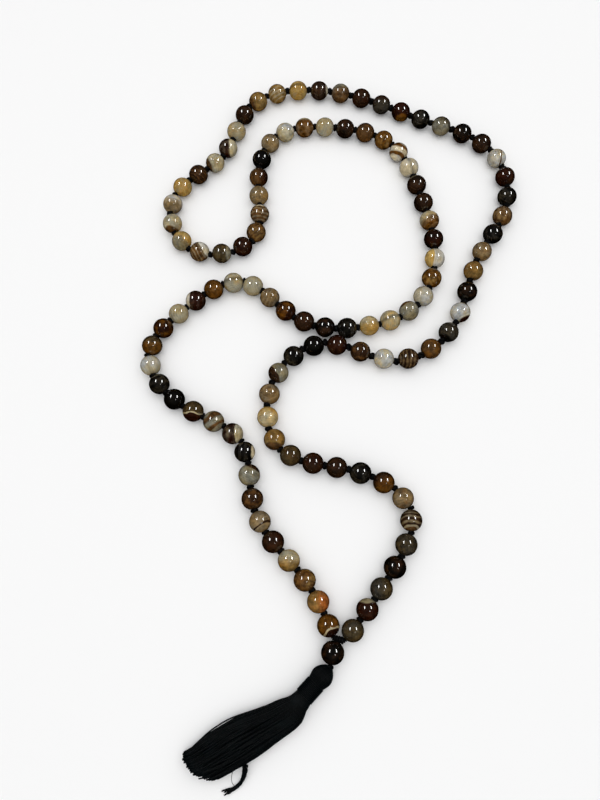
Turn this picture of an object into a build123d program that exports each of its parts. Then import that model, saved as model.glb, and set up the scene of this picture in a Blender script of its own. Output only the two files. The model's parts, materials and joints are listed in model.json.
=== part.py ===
from build123d import *
import math
import os

# Knotted mala: 108 banded agate beads and a guru bead on one black cord, with a black tassel.
# It lies on a flat surface in a loose, folded loop.  Millimetres, +Z up, the surface is z = 0.
# The origin is on the surface, under the middle of the whole string's bounding box.

# ---------------------------------------------------------------- driving dimensions
BEAD_D = 8.0            # round bead
BORE_D = 1.0            # drilled through each bead
BORE_MOUTH = 0.15       # chamfer at both mouths of the bore
CORD_D = 0.9            # knotting cord
KNOT_D = 2.6            # overhand knot between two beads
KNOT_GRIP = 0.5         # how far a knot reaches round the beads on either side, lengthwise
KNOT_ROUNDING = 1 / 3   # of the knot's length or width, whichever is less
FIT = 0.03              # gap between a knot and the bead it holds

BEADS_PER_STRETCH = 4   # beads in one stretch between two places where the string folds
STRETCHES = 27
FOLD_BALL_R = 0.62      # knot that a stretch turns on
FOLD_CUP_R = 0.66       # hollow in the end of the stretch that turns on it

GURU_D = 8.0
GURU_BORE_D = 2.0       # takes both ends of the cord
GURU_KNOT_R = 1.4       # fat knot above the guru bead
GURU_KNOT_NECK_R = 0.8  # its rounded-off ends
GURU_KNOT_END = 0.35    # from the string's end knot to the fat knot's end face
GURU_KNOT_SHOULDER = 1.5    # from the string's end knot to the fat knot's full width
GURU_ALONG = 1.0        # along the fat knot, where the tail leaves it
GURU_DROP = 4.7         # from the fat knot's axis to the guru bead's centre
TAIL_ANGLE = 258.0      # degrees, the way the tail runs on the table
TAIL_CORD_RISE = 0.47   # the tail's two cord ends lie this far above and below its middle
TAIL_KNOT_R = 1.1       # small knot under the guru bead, which the tassel hangs on
TAIL_KNOT_DROP = 4.95   # from the guru bead's centre to that knot

HEAD_ANGLE = 226.0      # the tassel's head
HEAD_SOCKET_R = 1.16    # hollow in the head that takes the tail's knot
# (radius, distance from the tail knot) down the outside of the head's dome
HEAD_DOME = ((1.3, 0.0), (3.35, 1.8), (3.9, 4.3), (3.25, 7.1))
HEAD_NECK_R = 3.0       # under the binding
HEAD_CUT = 13.6         # from the tail knot to the head's lower rim
BIND_START = 7.4        # from the tail knot to the binding's upper rim
BIND_FIRST_TURN = 0.35  # from the upper rim to the middle of the first turn
BIND_TURNS = 9
BIND_THREAD_D = 0.58    # also the distance from one turn to the next
BIND_SQUEEZE = 1.06     # pulled tight, the turns spread and overlap by this much
BIND_SINK = 0.1         # of the thread's width, how deep the turns press into the neck

SKIRT_ANGLE = 210.0     # the tassel's loose threads
SKIRT_PIVOT = 14.6      # from the tail knot to where the threads fan out of the head
SKIRT_ROOT_R = 3.1
SKIRT_SOCKET_R = 3.2
# (distance from the root, width, thickness, how far the middle lies to the side, and its height)
SKIRT_SECTIONS = (
    (0.0, 6.2, 6.2, 0.0, 4.0),
    (6.0, 9.6, 6.6, 0.9, 3.8),
    (14.0, 12.0, 6.7, 1.3, 3.6),
    (24.0, 14.4, 6.6, 0.8, 3.45),
    (34.0, 13.6, 6.2, 0.6, 3.25),
    (43.5, 10.2, 5.4, -0.5, 2.9),
)

STRAY_D = 0.9           # one thick thread that has come loose
STRAY_ROOT_R = 0.6
STRAY_SOCKET_R = 0.66
STRAY_ALONG = 26.5      # where it leaves the side of the tassel, from the skirt's root
STRAY_OUT = 0.35        # how far its root stands out of the side
STRAY_CLEAR = 0.05      # over the table at its tip
# from its root: two places on the way, and where the tip lies
STRAY_WAY = ((-0.6, -3.2, -1.4), (-2.6, -6.9, -2.5))
STRAY_TIP = (-7.2, -8.9)

# How the string lies on the table: the place of every third knot, in order from the guru bead
# round the loop and back to it.  The three beads between two places share the way evenly.
KNOTS_PER_PLACE = 3
LIE = (
    (16.0, -89.0), (32.0, -67.5), (41.5, -42.0), (18.5, -27.5), (-7.5, -20.0), (-11.0, 7.0),
    (10.0, 24.0), (38.0, 16.0), (63.0, 32.5), (73.5, 60.5), (88.0, 86.0), (83.5, 114.5),
    (58.0, 128.5), (32.0, 140.0), (4.0, 146.0), (-22.5, 137.0), (-33.5, 111.0), (-53.5, 92.0),
    (-46.5, 66.0), (-20.0, 69.5), (-18.0, 96.0), (-10.5, 121.5), (15.5, 126.0), (40.5, 117.0),
    (51.5, 92.5), (56.5, 66.0), (48.0, 40.5), (23.5, 30.5), (-2.5, 35.0), (-23.0, 51.0),
    (-46.0, 39.5), (-60.5, 18.5), (-45.5, -2.5), (-22.5, -16.5), (-17.0, -43.0), (-1.0, -64.5),
    (11.5, -88.0),
)
STEPS_ALONG_LIE = 4000  # how finely the lie is measured

# Which stretches of the string move together.  Where two of these meet, the string folds.
STRANDS = {
    "cord_cross": ((4, 5), (22,)),
    "cord_waist": ((26,),),
    "cord_right": ((2, 3),),
    "cord_ends": ((1,), (27,)),
    "cord_left": ((23,), (25,)),
    "cord_left_tip": ((24,),),
    "cord_band_1": ((6,), (21,)),
    "cord_band_2": ((7,), (20,)),
    "cord_band_3": ((8,), (19,)),
    "cord_band_4": ((9, 10), (18,)),
    "cord_band_5": ((11,), (17,)),
    "cord_band_6": ((12,), (16,)),
    "cord_far": ((13,), (15,)),
    "cord_far_tip": ((14,),),
}

BEAD_R = BEAD_D / 2
Z_MID = BEAD_R
UP = Vector(0, 0, 1)


# ---------------------------------------------------------------- the lie of the string
def heading(degrees):
    angle = math.radians(degrees)
    return Vector(math.cos(angle), math.sin(angle), 0)


def knot_places():
    """The centre of every knot: 0 and the last are at the guru bead."""
    lie = Spline(*[Vector(x, y, Z_MID) for x, y in LIE])
    steps = lie.positions([i / STEPS_ALONG_LIE for i in range(STEPS_ALONG_LIE + 1)])
    nearest = [min(range(len(steps)), key=lambda i: (steps[i] - Vector(x, y, Z_MID)).length)
               for x, y in LIE]
    places = []
    for start, end in zip(nearest, nearest[1:]):
        for part in range(KNOTS_PER_PLACE):
            places.append(steps[round(start + (end - start) * part / KNOTS_PER_PLACE)])
    return places + [steps[-1]]


KNOTS = knot_places()


def middle(bead):
    """Centre of a bead; beads are counted from 1."""
    return (KNOTS[bead - 1] + KNOTS[bead]) / 2


def along(start, direction):
    """A plane at start whose z axis runs in direction and whose y axis is up."""
    return Plane(origin=start, x_dir=UP.cross(direction), z_dir=direction)


# ---------------------------------------------------------------- beads
def drilled_bead(centre, direction, diameter, bore):
    ball = Sphere(diameter / 2)
    ball -= Cylinder(bore / 2, diameter + 1)
    mouths = ball.edges().filter_by(GeomType.CIRCLE)
    ball = chamfer(mouths, BORE_MOUTH)
    return along(centre, direction) * ball


def stretch_of_beads(stretch):
    first = BEADS_PER_STRETCH * (stretch - 1) + 1
    beads = [drilled_bead(middle(i), KNOTS[i] - KNOTS[i - 1], BEAD_D, BORE_D)
             for i in range(first, first + BEADS_PER_STRETCH)]
    return first, Compound(beads)


# ---------------------------------------------------------------- cord
def rod(start, end, radius):
    way = end - start
    return along((start + end) / 2, way) * Cylinder(radius, way.length)


def held_knot(k):
    """A knot squeezed between beads k and k + 1."""
    before = KNOTS[k] - KNOTS[k - 1]
    after = KNOTS[k + 1] - KNOTS[k]
    gap = (before.length + after.length) / 2 - BEAD_D
    barrel = Cylinder(KNOT_D / 2, gap + KNOT_GRIP)
    barrel = fillet(barrel.edges().filter_by(GeomType.CIRCLE), min(gap, KNOT_D) * KNOT_ROUNDING)
    knot = along(KNOTS[k], before.normalized() + after.normalized()) * barrel
    for bead in (k, k + 1):
        knot -= Pos(middle(bead)) * Sphere(BEAD_R + FIT)
    # the part of the knot that is outside the two beads' bores
    return knot.solids().sort_by(SortBy.VOLUME)[-1]


def stretch_of_cord(run, owns_start, owns_end):
    """Cord through a run of stretches, with a ball or a hollow at each of its two ends."""
    first = BEADS_PER_STRETCH * (run[0] - 1)
    last = BEADS_PER_STRETCH * run[-1]
    solid = None
    for k in range(first, last):
        link = rod(KNOTS[k], KNOTS[k + 1], CORD_D / 2)
        solid = link if solid is None else solid + link
    for k in range(first + 1, last):
        solid += held_knot(k)
    for k, owned in ((first, owns_start), (last, owns_end)):
        if owned:
            solid += Pos(KNOTS[k]) * Sphere(FOLD_BALL_R)
        else:
            solid -= Pos(KNOTS[k]) * Sphere(FOLD_CUP_R)
    return solid


def strands():
    """One cord per set of stretches.  The set that is named first keeps the knot of a fold."""
    order = {s: rank for rank, runs in enumerate(STRANDS.values()) for run in runs for s in run}
    rank_before = {s: order.get(s - 1, STRETCHES) for s in order}
    rank_after = {s: order.get(s + 1, STRETCHES) for s in order}
    made = {}
    for name, runs in STRANDS.items():
        cords = [stretch_of_cord(run, order[run[0]] < rank_before[run[0]],
                                 order[run[-1]] < rank_after[run[-1]]) for run in runs]
        made[name] = Compound(cords)
    return made


# ---------------------------------------------------------------- guru bead
KNOT_RIGHT = KNOTS[0]
KNOT_LEFT = KNOTS[-1]
KNOT_WAY = (KNOT_RIGHT - KNOT_LEFT).normalized()
KNOT_SPAN = (KNOT_RIGHT - KNOT_LEFT).length
TAIL_WAY = heading(TAIL_ANGLE)
TAIL_START = KNOT_LEFT + KNOT_WAY * GURU_ALONG
GURU_MIDDLE = TAIL_START + TAIL_WAY * GURU_DROP
TAIL_KNOT = GURU_MIDDLE + TAIL_WAY * TAIL_KNOT_DROP


def guru_knot():
    """The fat knot between the string's two ends, with both cord ends running down from it."""
    end, shoulder = GURU_KNOT_END, GURU_KNOT_SHOULDER
    outline = Polyline(
        (0, end), (GURU_KNOT_NECK_R, end), (GURU_KNOT_R, shoulder),
        (GURU_KNOT_R, KNOT_SPAN - shoulder), (GURU_KNOT_NECK_R, KNOT_SPAN - end),
        (0, KNOT_SPAN - end), close=True)
    section = Plane.XZ * make_face(outline)
    knot = along(KNOT_LEFT, KNOT_WAY) * revolve(section, Axis.Z)
    knot -= Pos(GURU_MIDDLE) * Sphere(GURU_D / 2 + FIT)
    tail_end = TAIL_KNOT - TAIL_WAY * TAIL_KNOT_R / 3
    for side in (-1, 1):
        shift = UP * side * TAIL_CORD_RISE
        knot += rod(TAIL_START + shift, tail_end + shift, CORD_D / 2)
    knot += Pos(TAIL_KNOT) * Sphere(TAIL_KNOT_R)
    for end_knot in (KNOT_LEFT, KNOT_RIGHT):
        knot -= Pos(end_knot) * Sphere(FOLD_CUP_R)
    return knot


# ---------------------------------------------------------------- tassel
HEAD_WAY = heading(HEAD_ANGLE)
SKIRT_WAY = heading(SKIRT_ANGLE)
SKIRT_SIDE = heading(SKIRT_ANGLE + 90)
SKIRT_ROOT = TAIL_KNOT + HEAD_WAY * SKIRT_PIVOT


def tassel_head():
    """Folded threads gathered into a dome, and the neck that the binding grips."""
    dome = Spline(*HEAD_DOME)
    outline = dome + Polyline(dome @ 1, (HEAD_NECK_R, BIND_START), (HEAD_NECK_R, HEAD_CUT),
                              (0, HEAD_CUT), (0, 0), dome @ 0)
    head = along(TAIL_KNOT, HEAD_WAY) * revolve(Plane.XZ * make_face(outline), Axis.Z)
    head -= Pos(TAIL_KNOT) * Sphere(HEAD_SOCKET_R)
    return head - Pos(SKIRT_ROOT) * Sphere(SKIRT_SOCKET_R)


def tassel_binding():
    """Thread wound round the neck, turn against turn."""
    inner = HEAD_NECK_R + FIT
    middle_r = inner + BIND_THREAD_D * (0.5 - BIND_SINK)
    first = BIND_START + BIND_FIRST_TURN
    rings = None
    for turn in range(BIND_TURNS):
        ring = Pos(0, 0, first + turn * BIND_THREAD_D) * Torus(middle_r, BIND_THREAD_D / 2 * BIND_SQUEEZE)
        rings = ring if rings is None else rings + ring
    width = (BIND_TURNS - 1) * BIND_THREAD_D
    sleeve = Pos(0, 0, first + width / 2) * Cylinder(middle_r, width)
    band = rings + sleeve - Pos(0, 0, BIND_START) * Cylinder(inner, 4 * width)
    return along(TAIL_KNOT, HEAD_WAY) * band


def skirt_section(distance, width, thickness, aside, height):
    at = SKIRT_ROOT + SKIRT_WAY * distance + SKIRT_SIDE * aside
    at = Vector(at.X, at.Y, height)
    return along(at, SKIRT_WAY) * Ellipse(width / 2, thickness / 2)


def tassel_skirt():
    """The loose threads as one soft body, flattened where it rests on the table."""
    skirt = loft([skirt_section(*values) for values in SKIRT_SECTIONS])
    return skirt + Pos(SKIRT_ROOT) * Sphere(SKIRT_ROOT_R)


def stray_root():
    """On the side of the skirt, between the two sections the thread lies between."""
    before = max(section for section in SKIRT_SECTIONS if section[0] < STRAY_ALONG)
    after = min(section for section in SKIRT_SECTIONS if section[0] > STRAY_ALONG)
    share = (STRAY_ALONG - before[0]) / (after[0] - before[0])
    _, width, _, aside, height = (a + (b - a) * share for a, b in zip(before, after))
    at = SKIRT_ROOT + SKIRT_WAY * STRAY_ALONG + SKIRT_SIDE * (aside + width / 2 + STRAY_OUT)
    return Vector(at.X, at.Y, height)


def tassel_stray():
    """A thick loose thread that curls away from the side of the tassel and lies on the table."""
    root = stray_root()
    tip_x, tip_y = STRAY_TIP
    tip = Vector(root.X + tip_x, root.Y + tip_y, STRAY_D / 2 + STRAY_CLEAR)
    way = Spline(root, *[root + Vector(*step) for step in STRAY_WAY], tip)
    thread = sweep(Plane(origin=way @ 0, z_dir=way % 0) * Circle(STRAY_D / 2), way)
    return thread + Pos(root) * Sphere(STRAY_ROOT_R)


# ---------------------------------------------------------------- the pieces, each in its own file
pieces = {}
for stretch in range(1, STRETCHES + 1):
    first_bead, group = stretch_of_beads(stretch)
    pieces[f"beads_{first_bead:03d}_{first_bead + BEADS_PER_STRETCH - 1:03d}"] = group
pieces.update(strands())
pieces["guru_bead"] = drilled_bead(GURU_MIDDLE, TAIL_WAY, GURU_D, GURU_BORE_D)
pieces["guru_knot"] = guru_knot()
pieces["tassel_head"] = tassel_head()
pieces["tassel_binding"] = tassel_binding()
pieces["tassel_skirt"] = tassel_skirt() - Pos(stray_root()) * Sphere(STRAY_SOCKET_R)
pieces["tassel_stray"] = tassel_stray()

box = Compound([Compound(piece.solids()) for piece in pieces.values()]).bounding_box()
to_origin = Pos(-box.center().X, -box.center().Y, -box.min.Z)

os.makedirs("parts", exist_ok=True)
for name, piece in pieces.items():
    export_step(to_origin * Compound(piece.solids()), f"parts/{name}.step")
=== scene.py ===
import json
import math
import random

import bpy
import numpy as np
from mathutils import Matrix, Vector


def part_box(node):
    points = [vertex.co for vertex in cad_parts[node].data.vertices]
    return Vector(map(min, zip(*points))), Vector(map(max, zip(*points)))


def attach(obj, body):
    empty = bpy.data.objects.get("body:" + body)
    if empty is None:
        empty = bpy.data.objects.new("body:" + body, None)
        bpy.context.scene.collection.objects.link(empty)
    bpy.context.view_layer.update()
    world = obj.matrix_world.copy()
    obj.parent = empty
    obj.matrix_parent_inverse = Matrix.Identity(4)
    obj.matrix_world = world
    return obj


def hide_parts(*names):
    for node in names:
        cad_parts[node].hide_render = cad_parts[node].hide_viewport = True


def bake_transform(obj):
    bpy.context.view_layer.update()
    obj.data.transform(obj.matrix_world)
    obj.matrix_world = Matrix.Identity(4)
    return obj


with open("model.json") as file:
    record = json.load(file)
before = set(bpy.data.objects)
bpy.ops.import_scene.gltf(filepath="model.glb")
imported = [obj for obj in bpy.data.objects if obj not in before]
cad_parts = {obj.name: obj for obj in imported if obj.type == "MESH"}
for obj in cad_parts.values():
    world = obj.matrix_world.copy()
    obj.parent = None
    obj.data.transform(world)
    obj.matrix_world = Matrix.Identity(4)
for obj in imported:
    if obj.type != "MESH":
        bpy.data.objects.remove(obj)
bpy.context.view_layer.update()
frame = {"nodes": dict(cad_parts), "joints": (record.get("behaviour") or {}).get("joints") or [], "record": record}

MM = 0.001
FULL_TURN = 2 * math.pi
UP = Vector((0, 0, 1))
BODIES = frame["record"]["behaviour"]["bodies"]
JOINTS = {joint["name"]: joint for joint in frame["joints"]}
BODY_OF = {node: body for body, nodes in BODIES.items() for node in nodes}

# ---------------------------------------------------------------- sizes, in metres
BEAD_R = 4.0 * MM
BORE_R = 0.5 * MM
GURU_BORE_R = 1.0 * MM
MOUTH = 0.16 * MM           # rounding where the bore meets the ball
CORD_R = 0.45 * MM
KNOT_R = 1.55 * MM
KNOT_CORD_R = 0.56 * MM
FAT_KNOT_CORE_R = 0.7 * MM
FAT_KNOT_COIL_R = 0.92 * MM
TAIL_SHIFT = 0.46 * MM      # each strand of the doubled tail lies this far from its middle
TAIL_ABOVE_BEAD = 4.7 * MM  # where the tail starts, from the middle of the guru bead
TAIL_KNOT_R = 1.35 * MM
TAIL_KNOT_LENGTH = 1.9 * MM
THREAD_R = 0.27 * MM
BINDING_THREAD_R = 0.30 * MM
FLYAWAY_R = 0.09 * MM

# the tassel's head, in millimetres: how far down from the tail knot, and radii
CROWN_R, DOME_R, NECK_R = 1.2, 3.9, 3.15
DOME_END, NECK_START, HEAD_END = 4.2, 7.8, 13.0
BINDING_START, BINDING_R = 7.3, 3.3

# ---------------------------------------------------------------- how each bead looks
# Four characters or more a bead, in order round the string: two tones, how they meet, and the
# clock hour, seen from above, that the second tone faces.
#   tones: K black  G grey black  D dark brown  R red brown  B brown  S sepia  A amber  H honey
#          Y yellow honey  T tan  O olive grey  C cream  W greyish white  N near white  F fiery
#   meet:  . cloudy  , fading  | sharp edge  _ cap  ( small cap  / edge with a pale line
#          - a single line  # fine stripes  = wide bands  % stripes up to an edge
#          o rings round an eye  c cloudy and clear, so that the cord shows through
LOOKS = """
SG.9 RO_12 GS,3 KD.4 GS.8 DB%6 TB.6 AD,11 KG.8 DK.7 DR.6 SD.1 HB_6 CY,12 TBo12 OD|8 KG.1 KK.3
RD.2 DB.5 WC.5 DT#3 BA.6 GK_7 WR(5 KD.3 HB.5 TBo12 KG.9 BT.9 KG.1 RD.6 WB-3 DK.8 KD.4 OG,1
KG.5 RA(6 DG,6 DR.1 BO,12 DN_3 YTc12 HC#11 HB_8 DK.7 CT.12 RC|3 CB_8 DB#1 YO.10 WT,6 CB_6 YO,7
BN%2 SO_3 RD.5 BH#11 BW%12 TH.12 BR,3 KK.6 TB_1 WC/6 AC|12 CO.9 DK.2 BD.5 AH#4 NA=1 NCc3 DK.3
DK.9 AC,11 RK.4 NY|9 AH.2 WO.6 OB_11 CYc3 YC,12 KG.8 KD.1 DR.7 RA.4 TB#10 CO.2 COc12 AB.7 RN_9
CO.8 RA.1 AS,12 WO.8 KG.4 KK.1 SR/6 OB=11 RC|3 KN_3 OD_1 DB.5 TD-5 DR.7 CH,6 BH.2 HF,3 AR/5
"""
GURU_LOOK = "KD.6"
TONES = {
    "K": (0.0019, 0.0015, 0.0008), "G": (0.030, 0.025, 0.017), "D": (0.026, 0.0110, 0.0040),
    "R": (0.018, 0.0040, 0.0010), "B": (0.091, 0.042, 0.012), "S": (0.058, 0.039, 0.015),
    "A": (0.104, 0.040, 0.004), "H": (0.210, 0.122, 0.033), "Y": (0.400, 0.250, 0.068),
    "T": (0.206, 0.144, 0.071), "O": (0.200, 0.177, 0.116), "C": (0.376, 0.318, 0.194),
    "W": (0.425, 0.402, 0.340), "N": (0.500, 0.450, 0.345), "F": (0.280, 0.088, 0.020),
}
CLEARNESS = {"C": 0.8, "W": 0.6, "Y": 0.8, "H": 0.45, "T": 0.3, "O": 0.4, "A": 0.2}

# for each way of meeting: how far past the bead's top the edge lies, in bead radii, how soft it
# is, and the shares of stripes, of the line along the edge and of clouds
NO_EDGE = 9.0
MEETS = {
    ".": (NO_EDGE, 0.3, 0.10, 0.0, 0.85),
    ",": (0.05, 0.45, 0.10, 0.0, 0.2),
    "|": (0.22, 0.05, 0.05, 0.0, 0.15),
    "_": (0.46, 0.06, 0.02, 0.0, 0.0),
    "(": (0.60, 0.05, 0.02, 0.0, 0.0),
    "/": (0.28, 0.05, 0.10, 0.9, 0.15),
    "-": (0.25, 0.1, 0.1, 1.0, 0.2),
    "#": (NO_EDGE, 0.1, 0.40, 0.0, 0.1),
    "=": (NO_EDGE, 0.1, 1.0, 0.0, 0.0),
    "%": (0.3, 0.05, 0.28, 0.6, 0.0),
    "o": (NO_EDGE, 0.1, 0.4, 0.0, 0.1),
    "c": (NO_EDGE, 0.3, 0.10, 0.0, 0.85),
}
CLEAN_EDGES = "_(|"         # these keep their size: little tilt and a nearly straight edge
SHELL_OFF = 2.4             # how far off the centre of the layers lies, in bead radii


# ---------------------------------------------------------------- mesh helpers
def smooth(low, high, value):
    """0 up to low, 1 from high on, and an easy curve between."""
    share = min(max((value - low) / (high - low), 0.0), 1.0)
    return share * share * (3 - 2 * share)


def turned(direction, spin=0.0):
    """A rotation that takes +Z to direction, after a turn about it."""
    return Vector(direction).to_track_quat("Z", "Y").to_matrix() @ Matrix.Rotation(spin, 3, "Z")


def new_piece(name, verts, faces, material, body=None, uvs=None):
    mesh = bpy.data.meshes.new(name)
    mesh.from_pydata([tuple(v) for v in verts], [], faces)
    mesh.materials.append(material)
    mesh.polygons.foreach_set("use_smooth", [True] * len(mesh.polygons))
    if uvs is not None:
        layer = mesh.uv_layers.new(name="UVMap")
        corners = [uvs[loop.vertex_index] for loop in mesh.loops]
        layer.data.foreach_set("uv", np.array(corners, np.float32).ravel())
    mesh.update()
    piece = bpy.data.objects.new(name, mesh)
    bpy.context.scene.collection.objects.link(piece)
    if body:
        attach(piece, body)
    return piece


class Strands:
    """Collects tubes into one mesh, with u once round the tube and v along it in millimetres."""

    def __init__(self):
        self.verts, self.faces, self.uvs = [], [], []

    def tube(self, points, radius, sides=8):
        points = [Vector(p) for p in points]
        radii = radius if isinstance(radius, (list, tuple)) else [radius] * len(points)
        start = len(self.verts)
        side = None
        travelled = 0.0
        for i, point in enumerate(points):
            ahead = points[min(i + 1, len(points) - 1)] - points[max(i - 1, 0)]
            ahead.normalize()
            if side is None:
                side = ahead.orthogonal().normalized()
            side = (side - ahead * side.dot(ahead)).normalized()
            across = ahead.cross(side)
            if i:
                travelled += (point - points[i - 1]).length / MM
            for k in range(sides):
                turn = FULL_TURN * k / sides
                out = side * math.cos(turn) + across * math.sin(turn)
                self.verts.append(point + out * radii[i])
                self.uvs.append((k / sides, travelled))
        for i in range(len(points) - 1):
            for k in range(sides):
                a = start + i * sides + k
                b = start + i * sides + (k + 1) % sides
                self.faces.append((a, b, b + sides, a + sides))
        self.faces.append(tuple(range(start + sides - 1, start - 1, -1)))
        last = start + (len(points) - 1) * sides
        self.faces.append(tuple(range(last, last + sides)))

    def piece(self, name, material, body, node):
        """One piece of all the tubes, in place of a CAD node."""
        made = new_piece(name, self.verts, self.faces, material, body, self.uvs)
        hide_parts(node)
        return made


# ---------------------------------------------------------------- reading the CAD frame
SAME_PLACE = 0.002 * MM     # vertices closer than this are one


def vertices_of(node):
    return np.array([v.co for v in frame["nodes"][node].data.vertices])


def solids_of(node):
    """The vertices of each separate solid of a CAD node."""
    co = vertices_of(node)
    keys = np.round(co / SAME_PLACE).astype(np.int64)
    _, same = np.unique(keys, axis=0, return_inverse=True)
    same = same.ravel()
    parent = np.arange(same.max() + 1)

    def root(i):
        while parent[i] != i:
            parent[i] = parent[parent[i]]
            i = parent[i]
        return i

    edges = np.array([e.vertices[:] for e in frame["nodes"][node].data.edges])
    for a, b in same[edges]:
        root_a, root_b = root(a), root(b)
        if root_a != root_b:
            parent[root_a] = root_b
    labels = np.array([root(i) for i in same])
    return [co[labels == label] for label in np.unique(labels)]


def centre_and_axis(points):
    """Centre of a drilled ball and the direction of its bore, from the rims of the bore."""
    middle = (points.min(0) + points.max(0)) / 2
    rims = points[np.linalg.norm(points - middle, axis=1) < 0.985 * BEAD_R]
    centre = (rims.min(0) + rims.max(0)) / 2
    _, _, directions = np.linalg.svd(rims - rims.mean(0), full_matrices=False)
    return Vector(centre), Vector(directions[0])


def read_beads():
    """[(centre, axis, node)] in order round the string, each axis pointing to the next bead."""
    beads = []
    last = Vector(JOINTS["guru_fold"]["pos_m"])
    for node in sorted(n for n in BODY_OF if n.startswith("beads_")):
        left = [centre_and_axis(points) for points in solids_of(node)]
        while left:
            left.sort(key=lambda bead: (bead[0] - last).length)
            centre, axis = left.pop(0)
            if axis.dot(centre - last) < 0:
                axis = -axis
            beads.append((centre, axis, node))
            last = centre
    return beads


def read_knots(beads):
    """Knot places: where the axes of neighbouring beads meet, and one at each end."""
    knots = []
    for (c0, a0, _), (c1, a1, _) in zip(beads, beads[1:]):
        half = (c1 - c0).length / 2 / math.cos(a0.angle(a1) / 2)
        knots.append((c0 + a0 * half + c1 - a1 * half) / 2)
    first = beads[0][0] * 2 - knots[0]
    last = beads[-1][0] * 2 - knots[-1]
    return [first] + knots + [last]


BEADS = read_beads()
KNOTS = read_knots(BEADS)
GURU_MIDDLE = Vector(JOINTS["guru_spin"]["pos_m"])
TAIL_WAY = Vector(JOINTS["guru_spin"]["axis"])
TAIL_KNOT = Vector(JOINTS["tassel_swing"]["pos_m"])
SKIRT_ROOT = Vector(JOINTS["tassel_lift"]["pos_m"])
HEAD_WAY = (SKIRT_ROOT - TAIL_KNOT).normalized()
SKIRT_WAY = UP.cross(Vector(JOINTS["tassel_lift"]["axis"])).normalized()
SKIRT_SIDE = UP.cross(SKIRT_WAY)


# ---------------------------------------------------------------- materials
class Graph:
    """Short calls for building a node tree."""

    def __init__(self, tree):
        self.nodes, self.links = tree.nodes, tree.links

    def node(self, kind, **settings):
        made = self.nodes.new(kind)
        for key, value in settings.items():
            setattr(made, key, value)
        return made

    def put(self, value, socket):
        if hasattr(value, "is_output"):
            self.links.new(value, socket)
        else:
            socket.default_value = value

    def math(self, operation, a, b=0.0):
        made = self.node("ShaderNodeMath", operation=operation)
        self.put(a, made.inputs[0])
        self.put(b, made.inputs[1])
        return made.outputs[0]

    def plus(self, a, b):
        return self.math("ADD", a, b)

    def minus(self, a, b):
        return self.math("SUBTRACT", a, b)

    def times(self, a, b):
        return self.math("MULTIPLY", a, b)

    def vector(self, operation, a, b=(0, 0, 0), output="Vector"):
        made = self.node("ShaderNodeVectorMath", operation=operation)
        self.put(a, made.inputs[0])
        self.put(b, made.inputs[1])
        return made.outputs[output]

    def mix(self, share, a, b, **settings):
        made = self.node("ShaderNodeMix", **settings)
        self.put(share, made.inputs["Factor"])
        self.put(a, made.inputs["A"])
        self.put(b, made.inputs["B"])
        return made.outputs["Result"]

    def tint(self, share, a, b, **settings):
        return self.mix(share, a, b, data_type="RGBA", **settings)

    def step(self, value, low, high, interpolation="SMOOTHSTEP"):
        """0 at low, 1 at high and between them in between."""
        made = self.node("ShaderNodeMapRange", interpolation_type=interpolation)
        self.put(value, made.inputs["Value"])
        self.put(low, made.inputs["From Min"])
        self.put(high, made.inputs["From Max"])
        return made.outputs["Result"]

    def noise(self, where, scale, detail=2.0, roughness=0.5):
        made = self.node("ShaderNodeTexNoise")
        self.put(where, made.inputs["Vector"])
        self.put(scale, made.inputs["Scale"])
        self.put(detail, made.inputs["Detail"])
        self.put(roughness, made.inputs["Roughness"])
        return made.outputs["Fac"]

    def parts(self, vector):
        made = self.node("ShaderNodeSeparateXYZ")
        self.put(vector, made.inputs[0])
        return tuple(made.outputs)

    def place(self, kind="Object"):
        return self.node("ShaderNodeTexCoord").outputs[kind]

    def of_object(self, name, output="Vector"):
        made = self.node("ShaderNodeAttribute", attribute_type="OBJECT", attribute_name=name)
        return made.outputs[output]


class Surface(Graph):
    """The node tree of a new material, with its shader."""

    def __init__(self, name):
        self.material = bpy.data.materials.new(name)
        self.material.use_nodes = True
        super().__init__(self.material.node_tree)
        self.shader = self.nodes["Principled BSDF"]

    def set(self, **inputs):
        for name, value in inputs.items():
            self.put(value, self.shader.inputs[name.replace("_", " ")])

    def bump(self, height, strength, distance):
        made = self.node("ShaderNodeBump")
        self.put(height, made.inputs["Height"])
        self.put(strength, made.inputs["Strength"])
        self.put(distance, made.inputs["Distance"])
        self.set(Normal=made.outputs["Normal"])


def stone_tone(g, place, cloud_at, cloud):
    """The colour of the bead's tones and bands, and the level of each point among its layers."""
    offset, frequency, bend = g.parts(g.of_object("layers"))
    edge, softness, line_width = g.parts(g.of_object("edges"))
    stripe_share, line_share, cloud_share = g.parts(g.of_object("shares"))

    # the layers lie in shells round a centre: a far one makes gentle curves, a near one an eye
    slow = g.minus(g.noise(cloud_at, 0.75, 1.0, 0.4), 0.5)
    apart = g.vector("DISTANCE", place, g.of_object("shell_centre"), "Value")
    level = g.plus(g.minus(apart, offset), g.times(slow, bend))

    # stripes in the first tone
    wave = g.math("SINE", g.times(level, frequency))
    uneven = g.times(g.minus(cloud, 0.5), 2.4)
    stripe = g.times(g.step(g.plus(wave, uneven), -0.35, 0.75), stripe_share)
    banded = g.tint(stripe, g.of_object("tone_a"), g.of_object("stripe_tone"))

    # the second tone, past the edge and in clouds
    past = g.step(level, g.minus(edge, softness), g.plus(edge, softness))
    clouds = g.times(g.step(cloud, 0.42, 0.72), cloud_share)
    split = g.tint(g.math("MAXIMUM", past, clouds), banded, g.of_object("tone_b"))

    # a thin line along the edge
    off_line = g.math("ABSOLUTE", g.minus(level, edge))
    line = g.minus(1.0, g.step(off_line, g.times(line_width, 0.4), line_width))
    return g.tint(g.times(line, line_share), split, g.of_object("line_tone")), level


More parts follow.
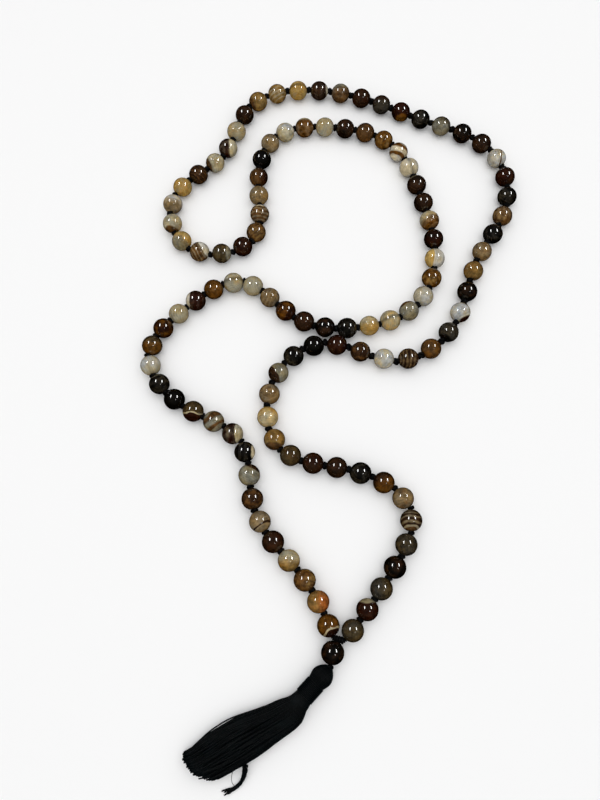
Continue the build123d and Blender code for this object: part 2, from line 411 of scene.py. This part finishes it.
LUMINANCE = (0.3, 0.6, 0.1)
PAINTED_RIM_SHADE_LOSS = (0.90, 0.98, 1.06)         # painted shade: red, green and blue taken away where stone is seen edge on, toward its outline
WARMTH_SWING = (-0.10, 0.06, 0.42)      # how far each of them wanders from place to place


def stone_shade(g, place, cloud_at, cloud, fine, tone, level):
    """What grain, veils, the cord inside and painted shade toward the outline leave of each colour."""
    light = g.step(g.vector("DOT_PRODUCT", tone, LUMINANCE, "Value"), 0.06, 0.24)

    # faint growth layers, grain and mottling, softer in light stone, which has veils instead
    growth = g.math("SINE", g.plus(g.times(level, 31.0), g.times(cloud, 9.0)))
    depth = g.step(g.noise(cloud_at, 2.2, 3.0, 0.6), 0.32, 0.68)
    mottle = g.minus(0.95, g.times(light, 0.70))
    veil = g.minus(g.step(cloud, 0.36, 0.64), 0.5)
    grain = g.times(g.plus(fine, g.times(growth, 0.16)), 0.6)
    grain = g.plus(grain, g.times(g.minus(depth, 0.5), mottle))
    grain = g.plus(grain, 0.72)
    grain = g.plus(grain, g.times(g.times(veil, light), 0.32))

    # the dark cord shows through clear stone
    beside = g.vector("DOT_PRODUCT", place, g.of_object("beside_bore"), "Value")
    core = g.minus(1.0, g.step(g.math("ABSOLUTE", beside), 0.02, 0.32))
    shade = g.times(grain, g.minus(1.0, g.times(core, g.of_object("core", "Fac"))))

    # painted shade: dark stone is darkened and warmed toward its outline as seen from the camera, where the light
    # falls off and the stone seen edge on is thicker; pale stone gets less of it
    facing = g.node("ShaderNodeLayerWeight")
    g.put(0.5, facing.inputs["Blend"])
    painted_rim_shade = g.math("POWER", facing.outputs["Facing"], 1.15)
    painted_rim_shade = g.times(painted_rim_shade, g.minus(1.0, g.times(light, 0.7)))
    warmth = g.minus(g.step(g.noise(cloud_at, 0.9, 2.0, 0.5), 0.34, 0.66), 0.5)
    channels = g.node("ShaderNodeCombineXYZ")
    for socket, loss, swing in zip(channels.inputs, PAINTED_RIM_SHADE_LOSS, WARMTH_SWING):
        kept = g.minus(1.16, g.times(painted_rim_shade, loss))
        kept = g.times(kept, g.plus(1.0, g.times(warmth, swing)))
        g.put(g.times(shade, kept), socket)
    return channels.outputs[0]


def agate():
    """Polished banded agate.  Every bead brings its own tones, layers and kind of band."""
    g = Surface("agate")
    place = g.vector("MULTIPLY", g.place(), (1 / BEAD_R,) * 3)
    cloud_at = g.vector("ADD", place, g.of_object("seed"))
    cloud = g.noise(cloud_at, 1.1, 2.0, 0.5)
    fine = g.noise(cloud_at, 7.0, 3.0, 0.6)
    tone, level = stone_tone(g, place, cloud_at, cloud)
    shade = stone_shade(g, place, cloud_at, cloud, fine, tone, level)
    g.set(Base_Color=g.tint(1.0, tone, shade, blend_type="MULTIPLY"), IOR=1.54)
    g.set(Roughness=g.plus(0.05, g.times(fine, 0.05)))
    g.set(Coat_Weight=0.3, Coat_Roughness=0.02)
    g.set(Subsurface_Weight=g.of_object("clear", "Fac"), Subsurface_Scale=1.2 * MM,
          Subsurface_Radius=(1.0, 0.75, 0.45))
    g.bump(g.noise(cloud_at, 2.0, 2.0, 0.4), 0.02, 0.1 * MM)
    return g.material


def opaque(colour, brightness=1.0):
    return tuple(c * brightness for c in colour) + (1.0,)


def spun_thread(name, colour, sheen, sheen_tint, plies, twist, roughness, depth):
    """Twisted black thread: plies wind round the tube, using u round it and v along it."""
    g = Surface(name)
    u, v, _ = g.parts(g.node("ShaderNodeUVMap").outputs[0])
    turn = g.plus(g.times(u, plies), g.times(v, twist))
    ply = g.math("ABSOLUTE", g.math("SINE", g.times(turn, math.pi)))
    where = g.place()
    fuzz = g.noise(where, 2500.0, 3.0, 0.6)
    patch = g.noise(where, 160.0, 2.0, 0.5)
    # painted shade: the colour is darkened to about a third in the grooves between the plies, where shade would
    # fall, as well as bumped
    body = g.tint(ply, opaque(colour, 0.35), opaque(colour))
    g.set(Base_Color=g.tint(g.step(patch, 0.45, 0.8), body, opaque(colour, 1.9)))
    g.set(Roughness=g.plus(roughness, g.times(fuzz, 0.25)), Specular_IOR_Level=0.07)
    g.set(Sheen_Weight=sheen, Sheen_Roughness=0.4, Sheen_Tint=opaque(sheen_tint))
    g.bump(g.plus(ply, g.times(fuzz, 0.4)), 0.7, depth)
    return g.material


AGATE = agate()
CORD = spun_thread("black_cord", colour=(0.0012, 0.0012, 0.0014), sheen=0.0,
                   sheen_tint=(0.6, 0.7, 0.9), plies=3, twist=0.9, roughness=0.45,
                   depth=0.12 * MM)
SILK = spun_thread("tassel_thread", colour=(0.0008, 0.0020, 0.0025), sheen=0.004,
                   sheen_tint=(0.1, 0.8, 1.0), plies=2, twist=0.8, roughness=0.35,
                   depth=0.06 * MM)


# ---------------------------------------------------------------- beads
def drilled_ball(radius, bore, rings=26, mouth_steps=4, around=44):
    """A drilled ball about Z: its outline runs over the outside, then back through the bore."""
    rim = math.asin((bore + MOUTH) / radius)
    rim_height = radius * math.cos(rim)
    outline = []
    for i in range(rings + 1):
        angle = rim + (math.pi - 2 * rim) * i / rings
        outline.append((radius * math.sin(angle), radius * math.cos(angle)))
    for end, steps in ((-1, range(1, mouth_steps + 1)), (1, range(mouth_steps - 1, -1, -1))):
        for i in steps:
            bend = math.pi / 2 * i / mouth_steps
            outline.append((bore + MOUTH * (1 - math.sin(bend)),
                            end * (rim_height - MOUTH * (1 - math.cos(bend)))))
    turns = [FULL_TURN * k / around for k in range(around)]
    verts = [Vector((r * math.cos(turn), r * math.sin(turn), z)) for r, z in outline
             for turn in turns]
    faces = []
    for i in range(len(outline)):
        j = (i + 1) % len(outline)
        for k in range(around):
            m = (k + 1) % around
            faces.append((i * around + k, j * around + k, j * around + m, i * around + m))
    return verts, faces


def clock(hour):
    """The direction a clock's hand points, lying on the table, with 12 away from the viewer."""
    turn = math.radians(30 * hour)
    return Vector((math.sin(turn), math.cos(turn), 0))


def dress_bead(piece, look, axis, dice):
    """Gives a bead the numbers that the agate material reads from it."""
    tone_a, tone_b, meet, hour = look[0], look[1], look[2], int(look[3:])
    edge, softness, stripes, line, clouds = MEETS[meet]
    clean = meet in CLEAN_EDGES
    rise = dice.uniform(-0.1, 0.3)
    facing = (clock(hour) + UP * (0.1 if clean else rise)).normalized()
    fine, wide = dice.uniform(15, 20), dice.uniform(6.0, 7.5)
    frequency = {"#": fine, "=": wide, "o": 10.0, "%": 16.0}.get(meet, 11.0)
    bend = dice.uniform(0.35, 0.75) * (0.4 if clean else 1.0)
    centre, offset = -facing * SHELL_OFF, (UP + facing * SHELL_OFF).length
    if meet == "o":
        centre, offset = (facing * 0.35 + UP * 0.9).normalized(), 0.0
    piece["tone_a"] = TONES[tone_a]
    piece["tone_b"] = TONES[tone_a if meet == "-" else tone_b]
    piece["stripe_tone"] = TONES["C" if meet == "%" else tone_b]
    piece["line_tone"] = TONES[tone_b if meet in "#=o-" else "C"]
    piece["shell_centre"] = tuple(centre)
    piece["layers"] = (offset, frequency, bend)
    piece["edges"] = (edge + dice.uniform(-0.08, 0.08), softness, dice.uniform(0.05, 0.09))
    piece["shares"] = (stripes, line, clouds)
    piece["seed"] = tuple(dice.uniform(-50, 50) for _ in range(3))
    piece["beside_bore"] = tuple(UP.cross(axis).normalized())
    piece["clear"] = CLEARNESS.get(tone_a, 0.0)
    piece["core"] = 0.5 if meet == "c" else 0.12


def make_bead(name, centre, axis, node, look, bore, dice):
    verts, faces = drilled_ball(BEAD_R * dice.uniform(0.995, 1.03), bore)
    turn = turned(axis, dice.uniform(0, math.pi))
    piece = new_piece(name, [turn @ v for v in verts], faces, AGATE)
    piece.location = centre
    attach(piece, BODY_OF[node])
    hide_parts(node)
    dress_bead(piece, look, axis, dice)


def make_beads(dice):
    for number, ((centre, axis, node), look) in enumerate(zip(BEADS, LOOKS.split()), 1):
        make_bead(f"bead_{number:03d}", centre, axis, node, look, BORE_R, dice)
    make_bead("guru_bead_agate", GURU_MIDDLE, TAIL_WAY, "guru_bead", GURU_LOOK, GURU_BORE_R, dice)


# ---------------------------------------------------------------- cord and its knots
def knot_path(centre, direction, width_r, length, spin, cord_r, steps=48):
    """An overhand knot pulled tight: a trefoil wound twice round the cord."""
    turn = turned(direction, spin)
    ring = (width_r - cord_r) * 0.66
    swell = width_r - cord_r - ring
    reach = max(length / 2 - cord_r, 0.15 * MM)
    path = []
    for i in range(steps + 1):
        t = FULL_TURN * i / steps
        out = ring + swell * math.cos(3 * t)
        local = Vector((out * math.cos(2 * t), out * math.sin(2 * t), reach * math.sin(3 * t)))
        path.append(centre + turn @ local)
    return path


def add_knot(strands, k, dice):
    before = (KNOTS[k] - KNOTS[k - 1]).normalized()
    after = (KNOTS[k + 1] - KNOTS[k]).normalized()
    gap = (KNOTS[k + 1] - KNOTS[k - 1]).length / 2 - 2 * BEAD_R
    width = KNOT_R * dice.uniform(0.9, 1.08)
    spin = dice.uniform(0, 6.28)
    path = knot_path(KNOTS[k], before + after, width, gap + 0.8 * MM, spin, KNOT_CORD_R)
    strands.tube(path, KNOT_CORD_R)


def make_cord(node, dice):
    """The cord through one body's beads, with the knots that body keeps."""
    strands = Strands()
    for k, (_, _, bead_node) in enumerate(BEADS, 1):
        if BODY_OF[bead_node] != BODY_OF[node]:
            continue
        strands.tube([KNOTS[k - 1], BEADS[k - 1][0], KNOTS[k]], CORD_R, 10)
        if k < len(BEADS):
            add_knot(strands, k, dice)
    strands.piece(node + "_braid", CORD, BODY_OF[node], node)


def wound(start, end, radius, turns, steps_per_turn=16):
    """A coil round the line from start to end."""
    way = end - start
    turn = turned(way)
    count = int(turns * steps_per_turn)
    path = []
    for i in range(count + 1):
        angle = FULL_TURN * i / steps_per_turn
        around = turn @ Vector((math.cos(angle), math.sin(angle), 0))
        path.append(start + way * i / count + around * radius)
    return path


def make_guru_knot():
    """The fat knot over the guru bead, the doubled tail through it and the small knot under it."""
    strands = Strands()
    left, right = KNOTS[-1], KNOTS[0]
    inset = (right - left).normalized() * 0.5 * MM
    strands.tube([left, left.lerp(right, 0.5), right], FAT_KNOT_CORE_R, 10)
    strands.tube(wound(left + inset, right - inset, FAT_KNOT_COIL_R, 4), CORD_R)
    tail_start = GURU_MIDDLE - TAIL_WAY * TAIL_ABOVE_BEAD
    for side in (-1, 1):
        shift = UP * side * TAIL_SHIFT
        strands.tube([tail_start + shift, GURU_MIDDLE + shift, TAIL_KNOT + shift], CORD_R)
    small_knot = knot_path(TAIL_KNOT, TAIL_WAY, TAIL_KNOT_R, TAIL_KNOT_LENGTH, 0.4, CORD_R)
    strands.tube(small_knot, CORD_R)
    strands.piece("guru_knot_braid", CORD, "guru_hanger", "guru_knot")


# ---------------------------------------------------------------- tassel: head and binding
def head_radius(t):
    """Radius of the head, in metres, t millimetres down from the tail knot."""
    if t < DOME_END:
        bulge = math.sin(math.pi / 2 * max(t, 0) / DOME_END) ** 0.8
        return (CROWN_R + (DOME_R - CROWN_R) * bulge) * MM
    return (DOME_R - (DOME_R - NECK_R) * smooth(DOME_END, NECK_START, t)) * MM


def around_head(t, angle, radius):
    """A point t millimetres down from the tail knot and radius metres off the head's axis."""
    out = turned(HEAD_WAY) @ Vector((math.cos(angle), math.sin(angle), 0))
    return TAIL_KNOT + HEAD_WAY * (t * MM) + out * radius


def make_head(dice, count=54):
    """Threads laid side by side over a solid core."""
    strands = Strands()
    for i in range(count):
        angle = FULL_TURN * i / count
        drift = dice.uniform(-0.05, 0.05)
        path = [around_head(t, angle + drift * t / HEAD_END, head_radius(t) - THREAD_R)
                for t in np.linspace(0.05, HEAD_END, 22)]
        strands.tube(path, THREAD_R * dice.uniform(0.95, 1.15), 6)
    core = np.linspace(0.5, HEAD_END + 0.2, 20)
    radii = [max(head_radius(t) - 1.5 * THREAD_R, 0.4 * MM) for t in core]
    strands.tube([TAIL_KNOT + HEAD_WAY * t * MM for t in core], radii, 24)
    strands.piece("tassel_head_threads", SILK, "tassel_top", "tassel_head")


def make_binding(dice, turns=11, steps=28):
    path = []
    for i in range(turns * steps + 1):
        share = i / (turns * steps)
        t = BINDING_START + (HEAD_END - BINDING_START) * share + dice.uniform(-0.03, 0.03)
        radius = (BINDING_R + dice.uniform(-0.03, 0.03)) * MM
        path.append(around_head(t, FULL_TURN * i / steps, radius))
    strands = Strands()
    strands.tube(path, BINDING_THREAD_R, 6)
    strands.piece("tassel_binding_turns", SILK, "tassel_top", "tassel_binding")


# ---------------------------------------------------------------- tassel: skirt
def skirt_slices(count=15):
    """(distance, half width, half thickness, height, how far to the side) along the CAD skirt."""
    co = vertices_of("tassel_skirt")
    from_root = co - np.array(SKIRT_ROOT)
    along = from_root @ np.array(SKIRT_WAY)
    side = from_root @ np.array(SKIRT_SIDE)
    up = co[:, 2]
    length = along.max()
    rows = []
    for i in range(count):
        at = length * i / (count - 1)
        near = np.abs(along - at) < 0.6 * length / count
        if i == count - 1:
            near = along > length - 0.2 * MM
        rows.append((at, (side[near].max() - side[near].min()) / 2,
                     (up[near].max() - up[near].min()) / 2,
                     (up[near].max() + up[near].min()) / 2,
                     (side[near].max() + side[near].min()) / 2))
    return np.array(rows)


SLICES = skirt_slices()
SKIRT_LENGTH = SLICES[-1, 0]
BELLY = 0.9 * MM            # how far the near side bulges just under the binding

# how far the threads reach, from the far side of the tassel to the near one: the cut is uneven
CUT_SIDES = (-1.0, -0.55, 0.3, 0.8, 1.0)
CUT_REACH = (0.995, 1.01, 0.98, 0.91, 0.85)

# each layer of threads: how far out it lies, and how many threads it has
SKIRT_LAYERS = {"outer": ((1.0, 104),), "middle": ((0.86, 76),), "inner": ((0.6, 50), (0.3, 24))}


def in_skirt(along, share_out, angle):
    """A point in the skirt: along it, how far out from its middle, and round it."""
    half, thick, height, aside = (np.interp(along, SLICES[:, 0], SLICES[:, i])
                                  for i in (1, 2, 3, 4))
    belly = BELLY * smooth(0, 3 * MM, along) * (1 - smooth(3 * MM, 14 * MM, along))
    sideways = aside + belly / 2 + (half + belly / 2) * share_out * math.cos(angle)
    point = SKIRT_ROOT + SKIRT_WAY * along + SKIRT_SIDE * sideways
    point.z = height + thick * share_out * math.sin(angle)
    return point


def from_neck(along, share_out, angle):
    """A point of the bundle just under the binding, measured along the head from its end."""
    radius = (3.25 + 0.14 * min(along / MM, 0)) * MM * share_out
    out = UP.cross(HEAD_WAY) * math.cos(angle) + UP * math.sin(angle)
    return SKIRT_ROOT + HEAD_WAY * along + out * radius


def skirt_path(share_out, angle, dice, waver=0.10, steps=30):
    """One thread, from under the binding to the cut end."""
    reach = float(np.interp(math.cos(angle) * share_out, CUT_SIDES, CUT_REACH))
    length = SKIRT_LENGTH * (reach * dice.uniform(0.98, 1.0))
    phase, phase_2 = dice.uniform(0, 6.28), dice.uniform(0, 6.28)
    drift = dice.uniform(-0.22, 0.22)
    start = -3.4 * MM
    path = []
    for i in range(steps):
        along = start + (length - start) * i / (steps - 1)
        share = max(along, 0) / length
        wave = waver * (math.sin(phase + 5 * share) + 0.4 * math.sin(phase_2 + 13 * share))
        out = share_out + 0.05 * math.sin(phase_2 + 7 * share) * share
        turn = angle + (wave + drift) * share
        fan = smooth(-2.5 * MM, (5.5 - 2.0 * math.cos(turn)) * MM, along)
        in_fan = in_skirt(max(along, 0), out, turn) + SKIRT_WAY * min(along, 0)
        path.append(from_neck(along, share_out, turn).lerp(in_fan, fan))
    return path


def add_core(strands):
    """A solid middle, so that no light shows through the bundle."""
    along = [SKIRT_LENGTH * share for share in np.linspace(0, 0.88, 12)]
    radii = [np.interp(at, SLICES[:, 0], SLICES[:, 2]) * 0.75 for at in along]
    strands.tube([in_skirt(at, 0, 0) for at in along], radii, 12)


def add_loose_threads(strands):
    """One thread bows out along the far side, and a hair loops out of the near side."""
    start, end = 12, 42.5
    bowed = []
    for along in np.linspace(start, end, 22):
        out = 1.0 + 0.085 * math.sin(math.pi * (along - start) / (end - start)) ** 2
        bowed.append(in_skirt(along * MM, out, math.pi * 0.97))
    strands.tube(bowed, 0.26 * MM, 6)

    root = in_skirt(31 * MM, 0.97, 0.0)
    looped = []
    for i in range(14):
        share = i / 13
        bulge = math.sin(math.pi * share) * 1.2
        looped.append(root + SKIRT_SIDE * share * 5.6 * MM
                      + SKIRT_WAY * (share * 1.6 + bulge) * MM - UP * share * 2.2 * MM)
    strands.tube(looped, FLYAWAY_R, 5)


def make_skirt(dice):
    for name, rings in SKIRT_LAYERS.items():
        strands = Strands()
        for share_out, count in rings:
            for i in range(count):
                angle = FULL_TURN * (i + dice.uniform(-0.35, 0.35)) / count
                path = skirt_path(share_out * dice.uniform(0.93, 0.985), angle, dice)
                strands.tube(path, THREAD_R * dice.uniform(0.9, 1.2), 6)
        if name == "inner":
            add_core(strands)
        if name == "outer":
            add_loose_threads(strands)
        piece = strands.piece(f"tassel_skirt_{name}", SILK, None, "tassel_skirt")
        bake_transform(piece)


def make_stray(dice, plies=6, steps=24):
    """The thick stray thread: a few plies twisted together, frayed at the tip."""
    root = Vector(JOINTS["stray_swing"]["pos_m"])
    low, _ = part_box("tassel_stray")
    tip = Vector((low.x, low.y + 0.5 * MM, 0.6 * MM))
    bow = root + Vector((0.2, -7.5, -3.0)) * MM
    strands = Strands()
    for ply in range(plies):
        turn = FULL_TURN * ply / plies
        frayed = 1.0 + dice.uniform(-0.08, 0.02)
        path, radii = [], []
        for i in range(steps):
            s = i / (steps - 1) * frayed
            point = root * (1 - s) ** 2 + bow * 2 * s * (1 - s) + tip * s * s
            spread = (0.72 - 0.38 * smooth(0.0, 0.5, s) + 0.45 * smooth(0.75, 1.0, s)) * MM
            angle = turn + 7 * s
            point += Vector((math.cos(angle), math.sin(angle), 0.7 * math.cos(angle + 1))) * spread
            point.z = max(point.z, 0.35 * MM)
            path.append(point)
            radii.append((0.34 - 0.12 * smooth(0.8, 1.0, s)) * MM)
        strands.tube(path, radii, 6)
    strands.piece("tassel_stray_thread", SILK, "loose_thread", "tassel_stray")


# ---------------------------------------------------------------- floor, light and camera
BACKDROP = 0.95             # brightness of the backdrop
FLOOR_R = 3.0
FADE_FROM, FADE_TO = 0.25, 1.1          # where the table fades into the backdrop, from the middle


def make_floor():
    """A white table that fades into the backdrop well away from the string."""
    g = Surface("floor_white")
    g.set(Base_Color=opaque((0.93, 0.93, 0.93)), Roughness=0.9)
    away = g.vector("LENGTH", g.place(), output="Value")
    to_camera = g.node("ShaderNodeLightPath").outputs["Is Camera Ray"]
    glow = g.node("ShaderNodeEmission")
    g.put(BACKDROP, glow.inputs["Strength"])
    fade = g.node("ShaderNodeMixShader")
    g.put(g.times(g.step(away, FADE_FROM, FADE_TO), to_camera), fade.inputs[0])
    g.put(g.shader.outputs[0], fade.inputs[1])
    g.put(glow.outputs[0], fade.inputs[2])
    g.put(fade.outputs[0], g.nodes["Material Output"].inputs["Surface"])
    corners = 48
    around = [FULL_TURN * i / corners for i in range(corners)]
    rim = [(FLOOR_R * math.cos(angle), FLOOR_R * math.sin(angle), 0) for angle in around]
    floor = new_piece("floor", rim, [tuple(range(corners))], g.material)
    floor.visible_glossy = False


def soft_box(name, place, width, height, radiance, in_reflections):
    """A lit rectangle aimed at the object, which either lights it or only shows in its polish."""
    data = bpy.data.lights.new(name, "AREA")
    data.shape = "RECTANGLE"
    data.size, data.size_y = width, height
    data.energy = radiance * math.pi * width * height
    light = bpy.data.objects.new(name, data)
    light.location = place
    back = Vector(place).normalized()
    across = Vector((0, 1, 0)).cross(back).normalized()
    light.rotation_euler = Matrix((across, back.cross(across), back)).transposed().to_euler()
    light.visible_diffuse = not in_reflections
    light.visible_glossy = in_reflections
    bpy.context.scene.collection.objects.link(light)


def make_light():
    """Even light from above, dark to the sides so that the polish stays deep."""
    world = bpy.data.worlds.new("studio")
    bpy.context.scene.world = world
    world.use_nodes = True
    g = Graph(world.node_tree)
    rays = g.node("ShaderNodeLightPath")
    _, _, height = g.parts(g.place("Generated"))
    sky = g.step(height, 0.0, 0.8, "LINEAR")
    sky = g.mix(rays.outputs["Is Glossy Ray"], sky, g.times(sky, 0.06))
    background = g.nodes["Background"]
    g.put(opaque((1, 1, 1)), background.inputs["Color"])
    g.put(g.mix(rays.outputs["Is Camera Ray"], sky, BACKDROP), background.inputs["Strength"])
    soft_box("overhead", (0.0, 0.05, 1.1), 1.2, 1.2, 0.86, False)
    soft_box("window_left", (-0.66, 0.36, 1.0), 0.13, 0.56, 32, True)
    soft_box("window_right", (0.76, 0.38, 1.0), 0.15, 0.62, 32, True)
    soft_box("lamp", (0.46, -0.40, 1.1), 0.09, 0.09, 26, True)


def make_camera():
    """Held above the string and a little in front of it, looking down at its middle."""
    data = bpy.data.cameras.new("camera")
    data.lens = 30.69
    data.clip_start = 0.01
    camera = bpy.data.objects.new("camera", data)
    camera.location = Vector((-14.72, -81.78, 259.40)) * MM
    camera.rotation_euler = (math.radians(16.548), 0, 0)
    bpy.context.scene.collection.objects.link(camera)
    bpy.context.scene.camera = camera


dice = random.Random(108)
make_beads(dice)
for node in sorted(n for n in BODY_OF if n.startswith("cord_")):
    make_cord(node, dice)
make_guru_knot()
make_head(dice)
make_binding(dice)
make_skirt(dice)
make_stray(dice)
make_floor()
make_light()
make_camera()
bpy.context.scene.view_settings.view_transform = "Standard"
